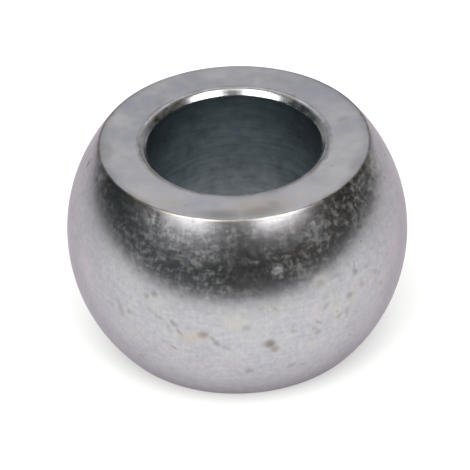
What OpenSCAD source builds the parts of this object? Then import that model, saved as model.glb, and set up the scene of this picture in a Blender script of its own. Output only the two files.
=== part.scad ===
// Linkage hitch ball: one turned steel ball with two flat ends and a plain through bore.
// Units are millimetres. The bore runs along Z and the origin is the centre of the ball.

/* [Ball] */
// Diameter of the spherical seat
ball_d = 56; // [50:0.5:70]
// Width over the two flat ends
width = 35; // [30:0.5:44]
// Radius on the edge between the spherical seat and each flat end
rim_round = 0.6; // [0.2:0.1:1.5]

/* [Bore] */
// Diameter of the through bore
bore_d = 28.2; // [20:0.1:34]
// Leg of the 45 degree chamfer at each mouth of the bore
mouth_chamfer = 0.9; // [0.8:0.1:2]
// Radius that blends each chamfer into the flat end
mouth_round = 1.2; // [0.4:0.1:2.4]
// Radius that breaks the edge between each chamfer and the bore
bore_round = 0.3; // [0.1:0.1:0.6]

/* [Hidden] */
$fn = 240;

ball_r = ball_d / 2;
bore_r = bore_d / 2;
half_w = width / 2;

// How far the cutters reach past the surfaces that they cut
reach = mouth_chamfer + mouth_round;

// The rim radius touches the flat end from below and the sphere from inside
rim_centre = [sqrt(pow(ball_r - rim_round, 2) - pow(half_w - rim_round, 2)), half_w - rim_round];

// Lengths that the two radii on a chamfer take from its neighbouring faces
blend_turn = 45;
mouth_run = mouth_round * tan(blend_turn / 2);
bore_run = bore_round * tan(blend_turn / 2);

// Outward normals in the section, which lies in X and Y with the bore's axis along Y
out_end = [0, 1];
out_bore = [-1, 0];
out_chamfer = [-1, 1] / sqrt(2);
out_rim = rim_centre / norm(rim_centre);

// What a radius removes from the corner where two faces with these outward normals meet
module corner_waste(centre, radius, normal_a, normal_b) {
    span = radius + reach;
    translate(centre)
        difference() {
            polygon([
                [0, 0],
                span * normal_a,
                span * (normal_a + normal_b) / (1 + normal_a * normal_b),
                span * normal_b
            ]);
            circle(r = radius);
        }
}

// Everything that is cut from the upper half of the section
module end_waste() {
    corner_waste(rim_centre, rim_round, out_end, out_rim);

    // 45 degree chamfer, drawn with its slope through the sharp corner of the bore
    polygon([
        [bore_r - reach, half_w - mouth_chamfer - reach],
        [bore_r + mouth_chamfer + reach, half_w + reach],
        [bore_r - reach, half_w + reach]
    ]);
    corner_waste([bore_r + mouth_chamfer + mouth_run, half_w - mouth_round],
        mouth_round, out_end, out_chamfer);
    corner_waste([bore_r + bore_round, half_w - mouth_chamfer - bore_run],
        bore_round, out_chamfer, out_bore);
}

// Half section of the ball, to the right of the bore's axis
module ball_section() {
    difference() {
        intersection() {
            circle(r = ball_r);
            translate([bore_r, -half_w])
                square([ball_r, width]);
        }
        for (side = [0, 1])
            mirror([0, side])
                end_waste();
    }
}

module ball() {
    color("silver")
        rotate_extrude()
            ball_section();
}

ball();
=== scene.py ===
from math import atan2, cos, pi, radians, sin, sqrt, tan

import bmesh
import bpy
from mathutils import Matrix, Vector
from mathutils.kdtree import KDTree


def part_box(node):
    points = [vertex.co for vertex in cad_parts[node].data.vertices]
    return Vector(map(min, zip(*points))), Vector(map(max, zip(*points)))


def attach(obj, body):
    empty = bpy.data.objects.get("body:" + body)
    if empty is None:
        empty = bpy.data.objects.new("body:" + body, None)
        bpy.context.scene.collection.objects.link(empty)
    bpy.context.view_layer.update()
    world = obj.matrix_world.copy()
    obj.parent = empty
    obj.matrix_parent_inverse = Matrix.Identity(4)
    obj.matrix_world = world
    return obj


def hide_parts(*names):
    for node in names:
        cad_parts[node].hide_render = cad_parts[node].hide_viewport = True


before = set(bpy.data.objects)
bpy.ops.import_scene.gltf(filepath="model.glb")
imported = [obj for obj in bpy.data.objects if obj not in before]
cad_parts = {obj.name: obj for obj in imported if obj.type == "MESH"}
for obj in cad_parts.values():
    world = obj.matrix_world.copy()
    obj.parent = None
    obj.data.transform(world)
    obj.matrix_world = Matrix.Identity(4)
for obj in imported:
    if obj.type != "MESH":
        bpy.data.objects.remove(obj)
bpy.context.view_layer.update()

mm = 0.001
ballLow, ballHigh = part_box("ball")
tableHeight = ballLow[2]


def deselectAll():
    if bpy.context.object and bpy.context.object.mode != "OBJECT":
        bpy.ops.object.mode_set(mode="OBJECT")
    bpy.ops.object.select_all(action="DESELECT")


def fromBall(azimuth, elevation, distance=1.0):
    # azimuth 0 is the side that the camera looks from, and grows to its right
    return Vector((
        distance * cos(elevation) * sin(azimuth),
        -distance * cos(elevation) * cos(azimuth),
        distance * sin(elevation),
    ))


def pointAt(thing, target, roll=0.0):
    gaze = Vector(target) - thing.location
    turn = gaze.to_track_quat("-Z", "Y").to_matrix().to_4x4()
    thing.rotation_euler = turn.to_euler()
    thing.rotation_euler.rotate_axis("Z", roll)


class NodeBench:
    # lays out the nodes of one material or world and joins them
    def __init__(self, owner):
        owner.use_nodes = True
        self.tree = owner.node_tree
        self.tree.nodes.clear()

    def plug(self, socket, value):
        if isinstance(value, bpy.types.NodeSocket):
            self.tree.links.new(value, socket)
        else:
            socket.default_value = value

    def add(self, kind, inputs=None, **settings):
        node = self.tree.nodes.new(kind)
        for name, value in settings.items():
            setattr(node, name, value)
        for name, value in (inputs or {}).items():
            self.plug(node.inputs[name], value)
        return node

    def math(self, operation, a, b=0.0, c=0.0):
        return self.add("ShaderNodeMath", {0: a, 1: b, 2: c}, operation=operation).outputs[0]

    def mix(self, *shares):
        # the sum of (value, weight) pairs
        total = 0.0
        for value, weight in shares:
            total = self.math("MULTIPLY_ADD", value, weight, total)
        return total

    def ramp(self, value, low, high, outLow=0.0, outHigh=1.0, soft=True):
        return self.add("ShaderNodeMapRange", {
            "Value": value, "From Min": low, "From Max": high, "To Min": outLow, "To Max": outHigh,
        }, interpolation_type="SMOOTHSTEP" if soft else "LINEAR", clamp=not soft).outputs["Result"]

    def blend(self, factor, first, second):
        node = self.add("ShaderNodeMix", data_type="RGBA")
        for index, value in ((0, factor), (6, first), (7, second)):
            self.plug(node.inputs[index], value)
        return node.outputs[2]

    def scaled(self, place, scale):
        return self.add("ShaderNodeMapping", {"Vector": place, "Scale": scale}).outputs[0]

    def noise(self, place, size, detail=2.0, rough=0.5):
        return self.add("ShaderNodeTexNoise", {
            "Vector": place, "Scale": 1 / size, "Detail": detail, "Roughness": rough,
        }).outputs["Fac"]

    def length(self, vector):
        return self.add("ShaderNodeVectorMath", {0: vector}, operation="LENGTH").outputs["Value"]

    def place(self):
        return self.add("ShaderNodeTexCoord").outputs["Object"]

    def heightOf(self, place):
        # above or below the ball's waist
        return self.math("ABSOLUTE", self.add("ShaderNodeSeparateXYZ", {0: place}).outputs["Z"])

    def offAxis(self, place):
        # distance from the bore's axis
        parts = self.add("ShaderNodeSeparateXYZ", {0: place})
        return self.length(self.add("ShaderNodeCombineXYZ", {
            "X": parts.outputs["X"], "Y": parts.outputs["Y"],
        }).outputs[0])


view = {
    "elevation": radians(36.4),
    "roll": radians(-2.07),     # the ball leans a little to the left
    "distance": 450 * mm,
    "sensor": 36,               # as the lens, in the camera's own millimetres
    "lens": 209.2,
    "shift": (-0.0047, -0.0167),
    "clipStart": 10 * mm,
}


def placeCamera():
    data = bpy.data.cameras.new("camera")
    data.lens = view["lens"]
    data.sensor_width = view["sensor"]
    data.shift_x, data.shift_y = view["shift"]
    data.clip_start = view["clipStart"]
    camera = bpy.data.objects.new("camera", data)
    bpy.context.collection.objects.link(camera)
    camera.location = fromBall(0, view["elevation"], view["distance"])
    pointAt(camera, (0, 0, 0), view["roll"])
    bpy.context.scene.camera = camera


studio = {
    "tableWidth": 6000 * mm,
    "tableGrey": (0.42, 0.42, 0.42, 1),
    "tableGlow": 0.53,
    "paintedShadowFrom": 13 * mm,        # the table's glow grows outwards from under the ball, a painted shadow round its foot
    "paintedShadowTo": 28 * mm,
    "paintedShadowGlow": 0.45,
    "reflectedShadeBackFrom": -55 * mm,        # and in the metal it dims towards the back, painted shade in the table's reflection
    "reflectedShadeBackTo": 20 * mm,
    "reflectedShadeBackBy": 0.40,
    "reflectedShadeAsideFrom": 15 * mm,       # and a little towards both sides, painted shade too
    "reflectedShadeAsideTo": 50 * mm,
    "reflectedShadeAsideBy": 0.07,
    "worldLevel": 0.6,
    # the dark room's floor line is an ellipse round the table
    "roomMiddle": (40 * mm, 98 * mm),
    "roomEdge": (425 * mm, 217 * mm),
    "roomLift": 0.2 * mm,
    "roomSides": 96,
    "rimRadius": 900 * mm,      # its walls rise to a rim, higher at the back
    "rimHeight": 1000 * mm,
    "rimTilt": radians(28.4),
    "roofRise": 400 * mm,       # and above that they close to a roof
    "roofShrink": 0.01,
    # the room glows in these colours and shows only in the metal: painted reflections of the studio
    "darkLeft": (0.003, 0.015, 0.014, 1),
    "darkRight": (0.020, 0.018, 0.008, 1),
    "backColour": (0.36, 0.36, 0.37, 1),
    "panelColour": (1.94, 1.94, 2.03, 1),
    "panelMiddle": (0, 800 * mm, 590 * mm),
    "panelReach": (180 * mm, 530 * mm),
    "topColour": (0.92, 0.92, 0.93, 1),
    "topFrom": 0.925,           # the roof is pale overhead, by the sine of the elevation
    "topTo": 0.985,
    "backFrom": 0.35,           # how far behind the ball, as a share of the distance
    "backTo": 0.85,
    "lamps": (                  # azimuth and elevation of the middle, and height
        (radians(-45), radians(57), 840 * mm),
        (radians(38), radians(61), 720 * mm),
    ),
    "lampDistance": 750 * mm,
    "lampWidth": 420 * mm,
    "lampPower": 15.0,          # for a square metre
    "lampColour": (1.0, 0.98, 0.945),
    "hoodSize": (246 * mm, 900 * mm),
    "hoodElevation": radians(62),
    "hoodDistance": 700 * mm,
}


def seenByEye(bench):
    # 1 for the rays that show the background to the camera, in metal and through glass
    path = bench.add("ShaderNodeLightPath")
    seen = bench.math("MAXIMUM", path.outputs["Is Camera Ray"], path.outputs["Is Glossy Ray"])
    return bench.math("MAXIMUM", seen, path.outputs["Is Transmission Ray"])


def lightWorld():
    world = bpy.data.worlds.new("studio")
    bpy.context.scene.world = world
    bench = NodeBench(world)
    level = bench.ramp(seenByEye(bench), 0, 1, studio["worldLevel"], 1.0)
    background = bench.add("ShaderNodeBackground", {"Color": (1, 1, 1, 1), "Strength": level})
    bench.add("ShaderNodeOutputWorld", {"Surface": background.outputs[0]})


def layTable():
    deselectAll()
    bpy.ops.mesh.primitive_plane_add(size=studio["tableWidth"], location=(0, 0, tableHeight))
    table = bpy.context.object
    table.name = "table"
    material = bpy.data.materials.new("litTable")
    bench = NodeBench(material)
    s = studio
    place = bench.place()
    x, y, _ = bench.add("ShaderNodeSeparateXYZ", {0: place}).outputs
    # painted shadow: the table glows less under and near the ball
    paintedShadow = bench.ramp(bench.length(place), s["paintedShadowFrom"], s["paintedShadowTo"], s["paintedShadowGlow"], 1.0)
    # painted shade, seen only in the metal: the glow dims towards the back and the sides
    back = bench.ramp(y, s["reflectedShadeBackFrom"], s["reflectedShadeBackTo"], 0, s["reflectedShadeBackBy"])
    shadeAside = bench.ramp(bench.math("ABSOLUTE", x), s["reflectedShadeAsideFrom"], s["reflectedShadeAsideTo"], 0, s["reflectedShadeAsideBy"])
    inMetal = bench.add("ShaderNodeLightPath").outputs["Is Glossy Ray"]
    reflectedShade = bench.math("MULTIPLY", inMetal, bench.math("ADD", back, shadeAside))
    glow = bench.math("MULTIPLY", seenByEye(bench), bench.math("MULTIPLY", paintedShadow, s["tableGlow"]))
    glow = bench.math("MULTIPLY", glow, bench.math("SUBTRACT", 1.0, reflectedShade))
    matt = bench.add("ShaderNodeBsdfDiffuse", {"Color": s["tableGrey"]})
    light = bench.add("ShaderNodeEmission", {"Color": (1, 1, 1, 1), "Strength": glow})
    both = bench.add("ShaderNodeAddShader", {0: matt.outputs[0], 1: light.outputs[0]})
    bench.add("ShaderNodeOutputMaterial", {"Surface": both.outputs[0]})
    table.data.materials.append(material)


def roomMaterial():
    # painted reflections: a glow seen only in the metal, dark behind the camera, grey at the back
    # with a soft pale panel brighter than white
    material = bpy.data.materials.new("room")
    bench = NodeBench(material)
    place = bench.place()
    x, y, z = bench.add("ShaderNodeSeparateXYZ", {0: place}).outputs
    away = bench.offAxis(place)
    back = bench.ramp(bench.math("DIVIDE", y, away), studio["backFrom"], studio["backTo"])
    fromPanel = bench.length(bench.add("ShaderNodeVectorMath", {
        0: place, 1: studio["panelMiddle"],
    }, operation="SUBTRACT").outputs[0])
    panel = bench.ramp(fromPanel, *studio["panelReach"], 1.0, 0.0)
    behind = bench.blend(panel, studio["backColour"], studio["panelColour"])
    side = bench.ramp(bench.math("DIVIDE", x, away), -1, 1)
    before = bench.blend(side, studio["darkLeft"], studio["darkRight"])
    rise = bench.math("DIVIDE", z, bench.length(place))
    top = bench.ramp(rise, studio["topFrom"], studio["topTo"])
    around = bench.blend(top, bench.blend(back, before, behind), studio["topColour"])
    light = bench.add("ShaderNodeEmission", {"Color": around, "Strength": 1.0})
    bench.add("ShaderNodeOutputMaterial", {"Surface": light.outputs[0]})
    return material


def showOnlyInMetal(thing):
    thing.data.materials.append(roomMaterial())
    thing.visible_camera = thing.visible_diffuse = thing.visible_shadow = False


def raiseRoom():
    # a bowl that stands round the lit part of the table, seen only in the metal, where it paints
    # the studio's reflections
    deselectAll()
    right, back = studio["roomMiddle"]
    middle = (right, back, tableHeight + studio["roomLift"])
    bpy.ops.mesh.primitive_circle_add(vertices=studio["roomSides"], radius=1, location=middle)
    bowl = bpy.context.object
    bowl.name = "darkRoom"
    bowl.scale = (studio["roomEdge"][0], studio["roomEdge"][1], 1)
    bpy.ops.object.transform_apply(location=True, rotation=False, scale=True)
    bpy.ops.object.mode_set(mode="EDIT")
    bpy.ops.mesh.select_all(action="SELECT")
    bpy.ops.mesh.extrude_region_move()
    grow = [studio["rimRadius"] / edge for edge in studio["roomEdge"]]
    bpy.ops.transform.resize(value=(grow[0], grow[1], 1), center_override=middle)
    bpy.ops.transform.rotate(value=-studio["rimTilt"], orient_axis="X", center_override=middle)
    bpy.ops.transform.translate(value=(-right, -back, studio["rimHeight"]))
    bpy.ops.mesh.extrude_region_move(TRANSFORM_OT_translate={"value": (0, 0, studio["roofRise"])})
    shrink = studio["roofShrink"]
    bpy.ops.transform.resize(value=(shrink, shrink, 1), center_override=(0, 0, 0))
    bpy.ops.object.mode_set(mode="OBJECT")
    showOnlyInMetal(bowl)


def hangHood():
    # a dark sheet seen only in the metal: a painted dark reflection of the gap between the two
    # lamps, where the camera stands
    deselectAll()
    bpy.ops.mesh.primitive_plane_add(size=1)
    hood = bpy.context.object
    hood.name = "darkHood"
    hood.scale = (studio["hoodSize"][0], studio["hoodSize"][1], 1)
    hood.location = fromBall(0, studio["hoodElevation"], studio["hoodDistance"])
    pointAt(hood, (0, 0, 0))
    bpy.ops.object.transform_apply(location=True, rotation=True, scale=True)
    showOnlyInMetal(hood)


def hangLamps():
    for azimuth, elevation, height in studio["lamps"]:
        data = bpy.data.lights.new("softLamp", "AREA")
        data.shape = "RECTANGLE"
        data.size, data.size_y = studio["lampWidth"], height
        data.energy = studio["lampPower"] * data.size * data.size_y
        data.color = studio["lampColour"]
        lamp = bpy.data.objects.new("softLamp", data)
        bpy.context.collection.objects.link(lamp)
        lamp.location = fromBall(azimuth, elevation, studio["lampDistance"])
        pointAt(lamp, (0, 0, 0))
        lamp.visible_camera = False


ball = {
    "radius": ballHigh[0],
    "halfWidth": ballHigh[2],
    "boreRadius": 14.1 * mm,
    "rimRound": 0.6 * mm,
    "rimDrop": 0.15 * mm,       # the rim shows as an edge this far below the end
    "mouthChamfer": 0.9 * mm,
    "mouthRound": 1.2 * mm,
    "boreRound": 0.3 * mm,
    "boreSteps": 14,
    "chamferSteps": 3,
    "flatSteps": 14,
    "seatSteps": 56,
    "edgeSteps": (3, 6, 6),     # round the bore's edge, the mouth and the rim
    "turns": 480,
    "halvesMerge": 0.001 * mm,
    "seamMerge": 0.005 * mm,
    "slack": 0.02 * mm,         # for telling by its place which surface a face belongs to
    "waveSize": 11 * mm,
    "waveDepth": 0.04 * mm,
    "waveDetail": 1,
    "dents": (                  # azimuth, elevation, reach and depth
        (9, -5, 0.9 * mm, 0.07 * mm),
        (10.6, -7.5, 0.7 * mm, 0.04 * mm),
        (-33.5, 36.2, 0.6 * mm, 0.07 * mm),
        (-33.9, 34.4, 0.6 * mm, 0.05 * mm),
        (27.8, 13.6, 1.2 * mm, 0.05 * mm),
        (33, 3.4, 0.8 * mm, 0.04 * mm),
        (-45, 1, 0.9 * mm, 0.04 * mm),
        (71, -12, 1.2 * mm, 0.06 * mm),
        (118, 8, 1.0 * mm, 0.06 * mm),
        (151, -20, 1.4 * mm, 0.06 * mm),
        (-96, 14, 1.1 * mm, 0.05 * mm),
        (-139, -6, 1.5 * mm, 0.07 * mm),
        (-171, 22, 0.9 * mm, 0.05 * mm),
        (52, -31, 1.0 * mm, 0.05 * mm),
    ),
}


def startVertex(place):
    # a plane merged to one vertex, from which the section is drawn
    deselectAll()
    bpy.ops.mesh.primitive_plane_add(size=mm, location=place)
    bpy.ops.object.transform_apply(location=True, rotation=True, scale=True)
    bpy.ops.object.mode_set(mode="EDIT")
    bpy.ops.mesh.select_all(action="SELECT")
    bpy.ops.mesh.merge(type="CENTER")


def drawLine(start, end, steps):
    step = [(b - a) / steps for a, b in zip(start, end)]
    for _ in range(steps):
        bpy.ops.mesh.extrude_region_move(TRANSFORM_OT_translate={"value": step})


def drawArc(centre, angle, steps):
    bpy.ops.mesh.spin(steps=steps, angle=angle, center=centre, axis=(0, -1, 0))


def drawSection():
    # the upper half of the section, from the bore's middle out to the ball's waist
    b = ball
    eighth = pi / 4
    mouthRun = b["mouthRound"] * tan(eighth / 2)
    boreRun = b["boreRound"] * tan(eighth / 2)
    rimX = sqrt((b["radius"] - b["rimRound"]) ** 2 - (b["halfWidth"] - b["rimRound"]) ** 2)
    rimZ = b["halfWidth"] - b["rimRound"]
    seatAngle = atan2(rimZ, rimX)
    boreEnd = b["halfWidth"] - b["mouthChamfer"] - boreRun
    mouthX = b["boreRadius"] + b["mouthChamfer"] + mouthRun
    mouthZ = b["halfWidth"] - b["mouthRound"]
    boreEdge, mouthEdge, rimEdge = b["edgeSteps"]
    slope = b["mouthChamfer"] - boreRun / sqrt(2) - mouthRun / sqrt(2)
    startVertex((b["boreRadius"], 0, 0))
    drawLine((b["boreRadius"], 0, 0), (b["boreRadius"], 0, boreEnd), b["boreSteps"])
    drawArc((b["boreRadius"] + b["boreRound"], 0, boreEnd), eighth, boreEdge)
    drawLine((0, 0, 0), (slope, 0, slope), b["chamferSteps"])
    drawArc((mouthX, 0, mouthZ), eighth, mouthEdge)
    drawLine((mouthX, 0, 0), (rimX, 0, 0), b["flatSteps"])
    drawArc((rimX, 0, rimZ), pi / 2 - seatAngle, rimEdge)
    drawArc((0, 0, 0), seatAngle, b["seatSteps"])
    bpy.ops.object.mode_set(mode="OBJECT")


def applied(piece, kind, **settings):
    modifier = piece.modifiers.new(kind.lower(), kind)
    for name, value in settings.items():
        setattr(modifier, name, value)
    bpy.ops.object.modifier_apply(modifier=modifier.name)


def turnBall():
    drawSection()
    piece = bpy.context.object
    piece.name = "zincBall"
    print("section:", len(piece.data.vertices), "vertices")
    applied(piece, "MIRROR", use_axis=(False, False, True), merge_threshold=ball["halvesMerge"])
    bpy.ops.object.mode_set(mode="EDIT")
    bpy.ops.mesh.select_all(action="SELECT")
    bpy.ops.mesh.spin(steps=ball["turns"], angle=2 * pi, center=(0, 0, 0), axis=(0, 0, 1))
    bpy.ops.mesh.select_all(action="SELECT")
    bpy.ops.mesh.remove_doubles(threshold=ball["seamMerge"])
    bpy.ops.mesh.normals_make_consistent(inside=False)
    bpy.ops.object.mode_set(mode="OBJECT")
    bpy.ops.object.shade_smooth()
    return piece


def wearBall(piece):
    # the seat is never a perfect sphere: slow waves and a few dents, all inwards
    waves = bpy.data.textures.new("waves", "CLOUDS")
    waves.noise_scale = ball["waveSize"]
    waves.noise_depth = ball["waveDetail"]
    applied(piece, "DISPLACE", texture=waves, texture_coords="LOCAL",
            mid_level=1.0, strength=ball["waveDepth"])
    places = KDTree(len(piece.data.vertices))
    for vertex in piece.data.vertices:
        places.insert(vertex.co, vertex.index)
    places.balance()
    bpy.ops.object.mode_set(mode="EDIT")
    bpy.ops.mesh.select_mode(type="VERT")
    mesh = bmesh.from_edit_mesh(piece.data)
    mesh.verts.ensure_lookup_table()
    for azimuth, elevation, reach, depth in ball["dents"]:
        outwards = fromBall(radians(azimuth), radians(elevation))
        deepest = places.find(outwards * ball["radius"])[1]
        bpy.ops.mesh.select_all(action="DESELECT")
        mesh.verts[deepest].select = True
        bpy.ops.transform.translate(value=-depth * outwards, use_proportional_edit=True,
                                    proportional_edit_falloff="SMOOTH", proportional_size=reach)
    bpy.ops.mesh.select_all(action="DESELECT")
    bpy.ops.object.mode_set(mode="OBJECT")
    print("seat worn:", len(ball["dents"]), "dents")


# tone is where the mottle turns from dark to pale, haze where it starts and ends, and how much
finishes = {
    "seat": {
        "dark": (0.346, 0.338, 0.401, 1),
        "pale": (0.482, 0.482, 0.495, 1),
        "edge": (0.76, 0.695, 0.755, 1),
        "tone": (0.33, 0.585), "roughness": (0.28, 0.33), "haze": (0.49, 0.695, 0.294),
        "cloud": (1.0 * mm, 4, 0.75), "drawn": (1.0 * mm, 3, 0.6), "patch": 6 * mm,
        "lying": (0.45, 0.45, 1.9), "standing": (1.9, 1.9, 0.45),
        "shares": (0.45, 0.2, 0.2, 0.15),
        "grain": 0.004 * mm, "speckSize": 2.2 * mm, "speckDepth": 0.35,
    },
    "end": {
        "dark": (0.428, 0.443, 0.506, 1),
        "pale": (0.527, 0.520, 0.522, 1),
        "edge": (1, 1, 1, 1),
        "tone": (0.3, 0.6), "roughness": (0.36, 0.44), "haze": (0.45, 0.69, 0.1),
        "cloud": (1.8 * mm, 3, 0.6), "drawn": (1.6 * mm, 3, 0.6), "patch": 9 * mm,
        "lying": (1, 1, 1), "standing": (1, 1, 1),
        "shares": (0.3, 0.1, 0.1, 0.5),
        "grain": 0.003 * mm, "speckSize": 2.6 * mm, "speckDepth": 0.15,
    },
    "mouth": {
        "dark": (0.450, 0.450, 0.467, 1),
        "pale": (0.545, 0.545, 0.565, 1),
        "edge": (1, 1, 1, 1),
        "tone": (0.3, 0.6), "roughness": (0.2, 0.26), "haze": (0.45, 0.69, 0.1),
        "cloud": (1.4 * mm, 3, 0.6), "drawn": (1.3 * mm, 3, 0.6), "patch": 5 * mm,
        "lying": (0.4, 0.4, 2), "standing": (1, 1, 1),
        "shares": (0.4, 0.3, 0.1, 0.2),
        "grain": 0.002 * mm, "speckSize": 2.2 * mm, "speckDepth": 0.2,
    },
    "bore": {
        "dark": (0.23, 0.265, 0.29, 1),
        "pale": (0.463, 0.52, 0.558, 1),
        "edge": (1, 1, 1, 1),
        "tone": (0.33, 0.585), "roughness": (0.28, 0.32), "haze": (0.45, 0.69, 0.0),
        "cloud": (1.8 * mm, 3, 0.65), "drawn": (1.6 * mm, 3, 0.6), "patch": 6 * mm,
        "lying": (0.25, 0.25, 2.6), "standing": (1, 1, 1),
        "shares": (0.35, 0.4, 0.05, 0.2),
        "grain": 0.006 * mm, "speckSize": 2.4 * mm, "speckDepth": 0.15,
    },
}

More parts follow.
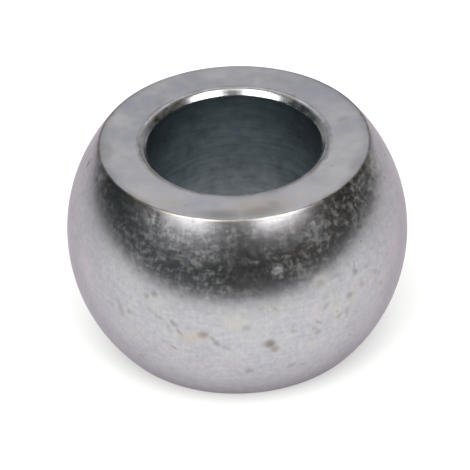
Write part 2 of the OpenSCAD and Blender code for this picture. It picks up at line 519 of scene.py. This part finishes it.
marks = {
    "darkColour": (0.17, 0.155, 0.13, 1),
    "brownColour": (0.50, 0.44, 0.36, 1),
    "oliveColour": (0.50, 0.50, 0.43, 1),
    "pinkColour": (0.55, 0.49, 0.525, 1),
    "paleColour": (0.60, 0.585, 0.57, 1),
    # the colour of the rim's dirt and of the painted shade at the rim and the mouth
    "rimColour": (0.29, 0.265, 0.245, 1),
    "boreColour": (0.115, 0.15, 0.168, 1),
    "ragged": 0.5 * mm,         # how far a mark's outline strays
    "raggedSize": 0.9 * mm,
    "raggedDetail": 2,
    "spread": 2.2,              # marks fade out this much wider than their width
    "full": 0.9,                # and have their full strength this near to their middle
    "height": 3 * mm,           # how far off the surface they reach
    "shortest": 0.01 * mm,      # anything shorter is a round spot
    "speckEdge": (0.2, 0.08),   # a speck fades in over this part of its cell
    "speckChosen": (0.6, 0.9),  # by the cell's random number
    "rimReach": 0.55 * mm,      # how far the dirt and painted shade spread from the rim and the mouth on each side
    "rimCore": 0.2 * mm,        # and how near it is at its full strength
    "rimDirtAndShade": 0.75,
    "mouthPaintedShade": 0.75,
    "mouthShare": 0.4,          # where on the mouth's round its painted shade lies
    "dirtAndShadeSize": 3.5 * mm,       # the dirt and painted shade are patchy
    "dirtAndShadeDetail": (3, 0.6),
    "dirtAndShadePatches": (0.38, 0.62, 0.3, 1.0),
    "sideShadeReach": 1.5 * mm,     # and painted shade spreads further at the two sides
    "sideShade": 0.6,
    "sideShadeSides": (0.4, 0.7),   # by the sine of the angle from the front or the back
    "boreFrom": 8 * mm,         # the bore darkens towards its mouths
    "boreTo": 16 * mm,
    "boreDarkening": 0.52,
    "pitLow": 5 * mm,           # marks are hazy round the waist and shine near the rims
    "pitHigh": 9 * mm,
    "pitHaze": 0.6,
    "pitShine": 0.05,
    "scuffPattern": (0.4, 0.56, 0.25, 1.0),     # scuffs follow the mottle
    # azimuth and elevation of both ends, width in mm and strength
    "dark": (
        (-32.0, 9.3, -32.0, 9.3, 0.8, 0.49), (-29.1, 10.9, -29.1, 10.9, 0.8, 0.58),
        (-32.7, 6.4, -28.9, 3.0, 0.45, 0.2), (-28.9, 3.0, -25.3, 2.1, 0.5, 0.35),
        (-25.3, 2.1, -22.4, -3.3, 0.5, 0.17), (-23.2, 2.7, -21.2, 0.4, 0.6, 0.49),
        (-21.4, 0.6, -19.0, -3.3, 0.5, 0.45), (-23.9, -8.2, -21.6, -9.9, 0.45, 0.52),
        (-43.4, 2.0, -41.4, -2.3, 0.8, 0.34), (-38.8, 0.8, -38.8, 0.8, 0.8, 0.37),
        (-12.9, -1.3, -11.6, -1.0, 1.0, 0.62), (-10.2, -1.0, -7.7, -4.7, 0.5, 0.36),
        (-8.3, -4.0, -7.5, -4.9, 0.8, 0.55), (-7.7, -4.7, -2.3, -8.2, 0.5, 0.18),
        (1.8, 2.0, 1.8, 2.0, 0.9, 0.36), (9.2, -5.7, 9.4, -5.9, 1.35, 0.85),
        (10.6, -7.9, 11.0, -8.6, 1.05, 0.56), (17.3, -18.6, 17.3, -18.6, 1.0, 0.36),
        (2.1, -18.5, 2.1, -18.5, 1.1, 0.4), (-7.1, -12.3, -7.1, -12.3, 0.7, 0.12),
        (-18.0, -15.1, -18.0, -15.1, 0.7, 0.12), (-38.5, -20.6, -37.5, -20.0, 0.8, 0.36),
        (9.6, 14.4, 9.6, 14.4, 0.9, 0.5), (6.6, 8.7, 6.6, 8.7, 0.7, 0.25),
        (10.3, 9.0, 12.2, 7.5, 0.5, 0.34), (0.4, 7.0, 2.0, 6.0, 0.6, 0.16),
        (17.6, 1.2, 15.9, -1.2, 0.6, 0.2), (41.8, 11.4, 41.8, 11.4, 0.8, 0.57),
        (42.1, 14.9, 41.8, 12.0, 0.35, 0.4), (40.0, 15.6, 40.0, 13.0, 0.35, 0.2),
        (46.0, 10.8, 50.0, 10.5, 0.6, 0.21), (32.5, 13.5, 36.3, 13.2, 0.6, 0.31),
        (27.6, 13.9, 27.6, 13.9, 0.9, 0.24), (38.5, 4.2, 38.5, 4.2, 0.95, 0.43),
        (28.7, 7.7, 28.7, 7.7, 0.8, 0.2), (29.6, 4.7, 28.0, 3.3, 0.7, 0.36),
        (32.5, 6.6, 33.0, 1.6, 0.5, 0.16), (37.1, 0.5, 37.1, -3.7, 0.55, 0.28),
        (33.8, -2.0, 33.8, -2.0, 0.75, 0.37), (22.8, -1.2, 26.9, -5.8, 0.55, 0.23),
        (25.0, -0.3, 27.0, -2.0, 0.45, 0.43), (26.0, -5.5, 26.0, -5.5, 0.8, 0.45),
        (19.0, -19.9, 23.0, -19.5, 0.6, 0.2), (44.1, 5.3, 44.1, 5.3, 0.8, 0.4),
        (50.5, 6.8, 51.5, 6.0, 0.8, 0.25), (54.6, -0.1, 54.6, -0.1, 0.7, 0.3),
        (-87.0, 33.6, -85.6, 31.0, 0.55, 0.9), (-76.0, 38.2, -74.0, 36.8, 0.8, 0.5),
        (-49.5, 37.6, -47.0, 37.0, 0.7, 0.5), (53.0, 4.8, 53.0, 4.8, 0.7, 0.29),
        (53.9, 0.2, 53.9, 0.2, 0.6, 0.45), (16.9, -1.9, 18.0, -2.4, 0.6, 0.27),
        (65.0, 35.6, 70.0, 34.5, 0.8, 0.4),
        # the sides and the back
        (71, -12, 71.6, -12.5, 1.3, 0.6), (96, 7, 101, 3, 0.5, 0.4), (118, 8, 118, 8, 1.1, 0.5),
        (133, -3, 136, -8, 0.5, 0.45), (151, -20, 152, -20, 1.4, 0.6), (166, 5, 172, 7, 0.45, 0.4),
        (-96, 14, -96, 14, 1.1, 0.5), (-112, -6, -107, -9, 0.5, 0.4),
        (-139, -6, -139, -6, 1.4, 0.6), (-156, 12, -151, 9, 0.5, 0.4),
        (-171, 22, -171, 22, 0.9, 0.45), (-74, -17, -74, -17, 0.9, 0.35),
    ),
    "brown": (
        (-19.5, -4.0, -11.0, -1.5, 1.8, 0.5), (10.9, -8.3, 10.9, -8.3, 1.4, 0.4),
        (41.0, 5.0, 39.0, 1.0, 1.6, 0.25), (-128, -10, -122, -12, 2.2, 0.3),
        (-165, 2, -160, 0, 1.8, 0.3),
    ),
    "olive": (
        (-4.6, 4.6, 2.5, 3.0, 2.6, 0.45), (26.8, 14.2, 29.4, 12.8, 2.0, 0.45),
        (24.3, -11.8, 24.3, -11.8, 1.6, 0.35), (34.0, -1.0, 32.0, 5.0, 2.2, 0.3),
        (8.0, 9.5, 14.0, 8.5, 1.6, 0.4), (-30.0, 8.0, -27.0, 4.5, 1.4, 0.35),
        (70.0, 36.2, 76.0, 35.5, 2.0, 0.55), (128, 10, 134, 6, 2.6, 0.6),
        (-118, 6, -112, 2, 2.4, 0.6),
    ),
    "pink": (
        (55.2, 1.1, 55.2, 1.1, 2.4, 0.5), (63.8, 6.0, 68.0, 12.0, 3.0, 0.4),
        (-60.4, 4.4, -64.0, 9.0, 3.4, 0.45), (25.8, 3.0, 25.8, 3.0, 2.6, 0.3),
        (-78.0, 14.0, -74.0, 20.0, 3.0, 0.35), (110, -14, 116, -10, 3.5, 0.35),
    ),
    "scuffed": (                # where the seat is hazier
        (-23.0, 34.5, -10.0, 31.0, 4.8, 0.22), (13.4, 21.3, 14.0, 21.1, 1.1, 0.3),
        (26.8, 14.2, 29.4, 12.8, 1.7, 0.26), (66.0, 35.0, 88.0, 33.5, 2.0, 0.16),
        (-28.0, 33.0, -24.0, 30.0, 2.4, 0.16), (24.0, 31.0, 34.0, 29.5, 2.6, 0.11),
        (56.0, 36.0, 65.0, 33.5, 2.2, 0.07), (-150, 18, -138, 12, 6.0, 0.2),
        (92, 20, 104, 16, 4.5, 0.18),
    ),
    "clean": (                  # and where it is plated brighter
        (-2.5, 31.0, 3.0, 12.0, 3.6, 0.8), (-66.0, 26.0, -44.0, 14.0, 8.0, 0.95),
        (-60.0, 34.0, -42.0, 35.0, 3.4, 0.9), (44.0, 16.0, 62.0, 26.0, 5.0, 0.5),
    ),
}

# azimuth and distance from the axis of both ends, width in mm and strength
endMarks = {
    "dark": (
        (-17, 20.7, 3, 21.0, 1.6, 0.5), (-2, 21.0, 22, 20.6, 1.6, 0.45),
        (17, 19.0, 18.5, 19.2, 1.2, 0.3), (-10, 16.1, 12, 16.1, 0.8, 0.22),
        (10, 16.0, 30, 16.2, 0.8, 0.2), (-12, 18.2, -9, 18.4, 1.0, 0.12),
        (60, 20.8, 75, 20.9, 0.9, 0.25), (-95, 20.9, -75, 20.9, 0.9, 0.3),
        (150, 19.0, 168, 19.4, 2.0, 0.15), (-140, 17.0, -131, 16.6, 0.8, 0.2),
        (105, 18.0, 106, 18.6, 0.9, 0.2),
    ),
    "brown": (
        (-4, 19.4, 28, 19.2, 3.6, 0.6), (38, 18.5, 55, 18.5, 3.0, 0.15),
        (-40, 19.6, -20, 20.0, 2.2, 0.3),
    ),
    "pale": (
        (22, 18.2, 40, 18.2, 2.6, 0.4), (-35, 18.0, -60, 18.0, 3.0, 0.2),
        (70, 18.5, 95, 18.5, 3.0, 0.15), (50, 19.8, 68, 19.8, 1.7, 0.35),
    ),
}


def strokeMask(bench, place, start, end, width, strength):
    # a spot or a line with soft ends: the strength in its middle, 0 outside it
    outwards = (start + end).normalized()
    along = end - start
    if along.length < marks["shortest"]:
        along = Vector((0, 0, 1)).cross(outwards)
    across = outwards.cross(along).normalized()
    turn = Matrix((across.cross(outwards), across, outwards)).transposed()
    half = width * mm / 2 * marks["spread"]
    local = bench.add("ShaderNodeMapping", {
        "Vector": place, "Location": (start + end) / 2, "Rotation": turn.to_euler(),
        "Scale": ((end - start).length / 2 + half, half, marks["height"]),
    }, vector_type="TEXTURE").outputs[0]
    # a gradient, since a vector length for each mark is more than the renderer can hold
    near = bench.add("ShaderNodeTexGradient", {"Vector": local}, gradient_type="SPHERICAL")
    return bench.ramp(near.outputs["Fac"], 0.0, marks["full"], 0.0, strength)


def onSeat(azimuth, elevation):
    return fromBall(radians(azimuth), radians(elevation), ball["radius"])


def onEnd(azimuth, away):
    return fromBall(radians(azimuth), 0, away * mm) + Vector((0, 0, ball["halfWidth"]))


def allStrokes(bench, place, strokes, toPoint=onSeat):
    total = 0.0
    for a, b, c, d, width, strength in strokes:
        mask = strokeMask(bench, place, toPoint(a, b), toPoint(c, d), width, strength)
        total = bench.math("MAXIMUM", total, mask)
    return total


def stained(bench, colour, place, lists, kinds, toPoint=onSeat):
    for kind in kinds:
        mask = allStrokes(bench, place, lists[kind], toPoint)
        colour = bench.blend(mask, colour, marks[kind + "Colour"])
    return colour


def ringDirtAndShade(bench, place, radius, height, strength, reach=marks["rimReach"]):
    # patchy darkening along an edge that runs round both ends, for dirt and painted shade
    sideways = bench.math("SUBTRACT", bench.offAxis(place), radius)
    upwards = bench.math("SUBTRACT", bench.heightOf(place), height)
    away = bench.length(bench.add("ShaderNodeCombineXYZ", {"X": sideways, "Y": upwards}).outputs[0])
    patches = bench.noise(place, marks["dirtAndShadeSize"], *marks["dirtAndShadeDetail"])
    patchy = bench.ramp(patches, *marks["dirtAndShadePatches"])
    near = bench.ramp(away, reach, marks["rimCore"], 0.0, strength)
    return bench.math("MULTIPLY", near, patchy)


def rimDirtAndShade(bench, colour, place, strayed):
    # dirt and a painted dark reflection along the rim, and painted shade spread from it where it
    # faces the two sides
    height = ball["halfWidth"] - ball["rimDrop"]
    radius = sqrt(ball["radius"] ** 2 - height ** 2)
    darkening = ringDirtAndShade(bench, strayed, radius, height, marks["rimDirtAndShade"])
    colour = bench.blend(darkening, colour, marks["rimColour"])
    x = bench.add("ShaderNodeSeparateXYZ", {0: place}).outputs["X"]
    sideways = bench.math("DIVIDE", bench.math("ABSOLUTE", x), bench.offAxis(place))
    sideShade = ringDirtAndShade(bench, strayed, radius, height, marks["sideShade"], marks["sideShadeReach"])
    sideShade = bench.math("MULTIPLY", sideShade, bench.ramp(sideways, *marks["sideShadeSides"]))
    return bench.blend(sideShade, colour, marks["rimColour"])


def mouthPaintedShade(bench, colour, strayed):
    # painted shade round the bore's mouth, standing in for the dark that its round reflects
    radius = ball["boreRadius"] + ball["mouthChamfer"] + ball["mouthRound"] * marks["mouthShare"]
    darkening = ringDirtAndShade(bench, strayed, radius, ball["halfWidth"], marks["mouthPaintedShade"])
    return bench.blend(darkening, colour, marks["rimColour"])


def boreDarkening(bench, colour, place):
    # the bore is darker towards its mouths
    height = bench.heightOf(place)
    darkening = bench.ramp(height, marks["boreFrom"], marks["boreTo"], 0.0, marks["boreDarkening"])
    return bench.blend(darkening, colour, marks["boreColour"])


def seatHaze(bench, haze, place, strayed, mottle, speck):
    # less where the seat is clean, more where it is scuffed, and some in the marks
    cleaned = bench.math("SUBTRACT", 1.0, allStrokes(bench, strayed, marks["clean"]))
    scuffed = allStrokes(bench, strayed, marks["scuffed"])
    worn = bench.math("MULTIPLY", scuffed, bench.ramp(mottle, *marks["scuffPattern"]))
    haze = bench.math("MULTIPLY_ADD", haze, cleaned, worn)
    pitted = bench.ramp(bench.heightOf(place), marks["pitLow"], marks["pitHigh"],
                        marks["pitHaze"], marks["pitShine"])
    return bench.math("MAXIMUM", haze, bench.math("MULTIPLY", speck, pitted))


def specks(bench, place, look):
    # small specks, one in a few cells of the pattern
    cells = bench.add("ShaderNodeTexVoronoi", {"Vector": place, "Scale": 1 / look["speckSize"]})
    chosen = bench.add("ShaderNodeSeparateXYZ", {0: cells.outputs["Color"]}).outputs["X"]
    near = bench.ramp(cells.outputs["Distance"], *marks["speckEdge"])
    depth = bench.ramp(chosen, *marks["speckChosen"], 0.0, look["speckDepth"])
    return bench.math("MULTIPLY", near, depth)


def strayedPlace(bench, place):
    # the place moved to and fro a little, for ragged outlines
    noise = bench.add("ShaderNodeTexNoise", {
        "Vector": place, "Scale": 1 / marks["raggedSize"], "Detail": marks["raggedDetail"],
    })
    moved = bench.add("ShaderNodeVectorMath", {
        0: noise.outputs["Color"], 1: (marks["ragged"],) * 3, 2: place,
    }, operation="MULTIPLY_ADD").outputs[0]
    return bench.add("ShaderNodeVectorMath", {
        0: moved, 1: (marks["ragged"] / 2,) * 3,
    }, operation="SUBTRACT").outputs[0]


def folded(bench, place):
    # the place with its height made positive, so that both ends wear the same marks
    x, y, _ = bench.add("ShaderNodeSeparateXYZ", {0: place}).outputs
    z = bench.heightOf(place)
    return bench.add("ShaderNodeCombineXYZ", {"X": x, "Y": y, "Z": z}).outputs[0]


def zincFinish(name):
    look = finishes[name]
    material = bpy.data.materials.new("zinc" + name.capitalize())
    bench = NodeBench(material)
    place = bench.place()
    # plating clouds, with fine marks that lie round the axis or stand along it
    cloud = bench.noise(place, *look["cloud"])
    lying = bench.noise(bench.scaled(place, look["lying"]), *look["drawn"])
    standing = bench.noise(bench.scaled(place, look["standing"]), *look["drawn"])
    patch = bench.noise(place, look["patch"])
    mottle = bench.mix(*zip((cloud, lying, standing, patch), look["shares"]))
    low, high, most = look["haze"]
    haze = bench.ramp(mottle, low, high, 0.0, most, soft=False)
    roughness = bench.ramp(mottle, low, high, *look["roughness"], soft=False)
    tone = bench.ramp(mottle, *look["tone"], soft=False)
    colour = bench.blend(tone, look["dark"], look["pale"])
    speck = specks(bench, place, look)
    strayed = strayedPlace(bench, place)
    if name == "end":
        flat = folded(bench, strayed)
        speck = bench.math("MAXIMUM", speck, allStrokes(bench, flat, endMarks["dark"], onEnd))
        colour = stained(bench, colour, flat, endMarks, ("brown", "pale"), onEnd)
    if name == "seat":
        speck = bench.math("MAXIMUM", speck, allStrokes(bench, strayed, marks["dark"]))
        colour = stained(bench, colour, strayed, marks, ("brown", "olive", "pink"))
        haze = seatHaze(bench, haze, place, strayed, mottle, speck)
    if name in ("seat", "end"):
        colour = rimDirtAndShade(bench, colour, place, strayed)
    if name in ("mouth", "end"):
        colour = mouthPaintedShade(bench, colour, strayed)
    if name == "bore":
        colour = boreDarkening(bench, colour, place)
    colour = bench.blend(speck, colour, marks["darkColour"])
    bump = bench.add("ShaderNodeBump", {
        "Height": cloud, "Strength": 1.0, "Distance": look["grain"],
    })
    # without haze it is metal all over
    metal = bench.math("SUBTRACT", 1.0, haze) if most else 1.0
    shader = bench.add("ShaderNodeBsdfPrincipled", {
        "Base Color": colour, "Metallic": metal, "Roughness": roughness,
        "Specular Tint": look["edge"], "Normal": bump.outputs[0],
    })
    bench.add("ShaderNodeOutputMaterial", {"Surface": shader.outputs[0]})
    return material


def finishOf(face):
    # which finish a face wears, by where it lies
    away = sqrt(face.center.x ** 2 + face.center.y ** 2)
    high = abs(face.center.z)
    inBore = away < ball["boreRadius"] + ball["slack"]
    if inBore and high < ball["halfWidth"] - ball["mouthChamfer"]:
        return "bore"
    if away < ball["boreRadius"] + ball["mouthChamfer"] + ball["mouthRound"] / 2:
        return "mouth"
    if high > ball["halfWidth"] - ball["slack"]:
        return "end"
    return "seat"


def makeBall():
    piece = turnBall()
    order = list(finishes)
    for name in order:
        piece.data.materials.append(zincFinish(name))
    print("finishes:", ", ".join(order))
    for face in piece.data.polygons:
        face.material_index = order.index(finishOf(face))
    wearBall(piece)
    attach(piece, "root")
    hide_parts("ball")
    print("ball:", sum(len(p.vertices) - 2 for p in piece.data.polygons), "triangles")


bpy.context.scene.view_settings.view_transform = "Standard"
placeCamera()
lightWorld()
layTable()
raiseRoom()
hangHood()
hangLamps()
print("studio ready")
makeBall()
